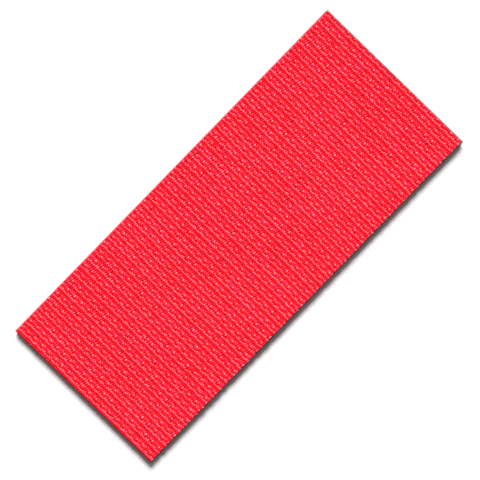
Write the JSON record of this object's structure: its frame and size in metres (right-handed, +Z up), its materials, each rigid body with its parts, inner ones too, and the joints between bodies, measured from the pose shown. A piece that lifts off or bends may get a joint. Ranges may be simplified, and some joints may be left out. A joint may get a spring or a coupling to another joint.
{
  "type": "climbing skin sample",
  "caption": "Flat rectangular cut of ski climbing skin: red plush pile leaning one way on a coated woven ground, over glue that a slightly larger liner covers and peels away from.",
  "frame": {"origin": "middle of the liner's underside, where the cut rests on a table", "axes": "+X along the length, the way the pile lies; +Y across the width; +Z up out of the pile"},
  "size_m": [0.1194, 0.0506, 0.0033],
  "materials": {
    "liner_film": "satin",
    "skin_glue": "tacky",
    "membrane_film": "matte",
    "backing_cloth": "woven",
    "coating_rubber": "matte",
    "ground_yarn": "woven",
    "pile_yarn": "plush"
  },
  "bodies": {
    "liner": {"release_liner": "liner_film"},
    "skin": {"glue_film": "skin_glue", "membrane": "membrane_film", "backing_cloth": "backing_cloth", "back_coating": "coating_rubber", "ground_ends": "ground_yarn", "line_row_picks": "ground_yarn", "bead_row_picks": "ground_yarn", "pile": "pile_yarn"}
  },
  "joints": [
    {"name": "liner_peel", "type": "hinge", "parent": "liner", "child": "skin", "pos_m": [-0.0597, 0, 0.00016], "axis": [0, -1, 0], "range_deg": [0, 85]}
  ]
}
